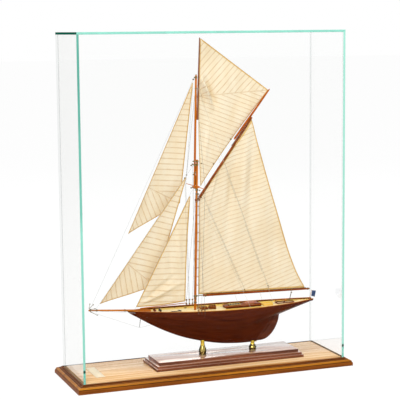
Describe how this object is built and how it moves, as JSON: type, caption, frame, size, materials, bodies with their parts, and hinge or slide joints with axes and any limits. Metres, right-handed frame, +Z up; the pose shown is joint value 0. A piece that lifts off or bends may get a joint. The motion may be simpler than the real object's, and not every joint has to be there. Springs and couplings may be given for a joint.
{
  "type": "model sailing ship in a display case",
  "caption": "Gaff cutter yacht model with five cloth sails on brass pedestals and a plinth, under a lift-off glass cover on a moulded oak base.",
  "frame": {"origin": "centre of the oak base's underside", "axes": "+Z up, -X towards the bow, -Y towards the port side, which faces the viewer"},
  "size_m": [0.651, 0.205, 0.766],
  "materials": {
    "oak_core": "sanded, unvarnished",
    "oak_veneer": "satin varnish",
    "oak_moulding": "stained, satin",
    "nameplate": "satin",
    "glass": "clear, polished edges",
    "plinth_mahogany": "gloss varnish",
    "brass": "polished",
    "steel": "plain",
    "hull_mahogany": "gloss varnish",
    "deck_planks": "satin varnish",
    "rail_wood": "satin varnish",
    "rudder_wood": "gloss varnish",
    "deck_furniture": "satin varnish",
    "skylight_glass": "gloss",
    "tender_wood": "satin varnish",
    "ensign_cloth": "matt",
    "spar_light": "satin varnish",
    "spar_dark": "satin varnish",
    "iron": "satin black",
    "sailcloth": "matt cotton",
    "rigging_cord": "matt cord"
  },
  "bodies": {
    "stand_and_hull": {"baseboard": "oak_core", "floor_panel": "oak_veneer", "base_moulding": "oak_moulding", "nameplate": "nameplate", "plinth": "plinth_mahogany", "pedestals": "brass", "pedestal_screws": "steel", "keel": "hull_mahogany", "port_planking": "hull_mahogany", "starboard_planking": "hull_mahogany", "transom": "hull_mahogany", "bulkheads": "oak_core", "deck": "deck_planks", "cap_rail": "rail_wood", "rudder_gudgeons": "brass", "bitts": "deck_furniture", "windlass": "iron", "anchor": "iron", "fore_hatch": "deck_furniture", "fore_skylight": "deck_furniture", "cabin_trunk": "deck_furniture", "skylight": "skylight_glass", "tender": "tender_wood", "companion": "deck_furniture", "cockpit_coaming": "deck_planks", "helm_coaming": "deck_furniture", "cleats": "iron", "ensign_staff": "spar_light", "ensign": "ensign_cloth", "bowsprit": "spar_light", "bowsprit_irons": "iron", "dolphin_striker": "iron", "lower_mast": "spar_light", "topmast": "spar_light", "mast_irons": "iron", "crosstrees": "spar_dark", "jib": "sailcloth", "jib_topsail": "sailcloth", "shrouds": "rigging_cord", "stays": "rigging_cord", "running_rigging": "rigging_cord", "mainsheet": "rigging_cord"},
    "glass_cover": {"front_glass": "glass", "back_glass": "glass", "left_glass": "glass", "right_glass": "glass", "top_glass": "glass"},
    "rudder": {"rudder_blade": "rudder_wood", "rudder_stock": "brass", "tiller": "spar_dark"},
    "main_rig": {"boom": "spar_dark", "boom_irons": "iron", "gaff": "spar_dark", "topsail_yard": "spar_light", "jackyard": "spar_light", "mast_hoops": "spar_light", "mainsail": "sailcloth", "topsail": "sailcloth"},
    "fore_staysail": {"club_boom": "spar_dark", "staysail": "sailcloth"}
  },
  "joints": [
    {"name": "cover_lift", "type": "slide", "parent": "stand_and_hull", "child": "glass_cover", "axis": [0, 0, 1], "range_m": [0, 0.76]},
    {"name": "rudder_turn", "type": "hinge", "parent": "stand_and_hull", "child": "rudder", "pos_m": [0.12593, 0, 0.05303], "axis": [0.6423, 0, 0.7664], "range_deg": [-30, 30]},
    {"name": "boom_swing", "type": "hinge", "parent": "stand_and_hull", "child": "main_rig", "pos_m": [-0.0218, 0, 0.15], "axis": [0.0243, 0, 0.9997], "range_deg": [-7, 7], "deforming": ["mainsheet"]},
    {"name": "staysail_swing", "type": "hinge", "parent": "stand_and_hull", "child": "fore_staysail", "pos_m": [-0.1645, 0, 0.1538], "axis": [0.4699, 0, 0.8827], "range_deg": [-8, 8]}
  ]
}
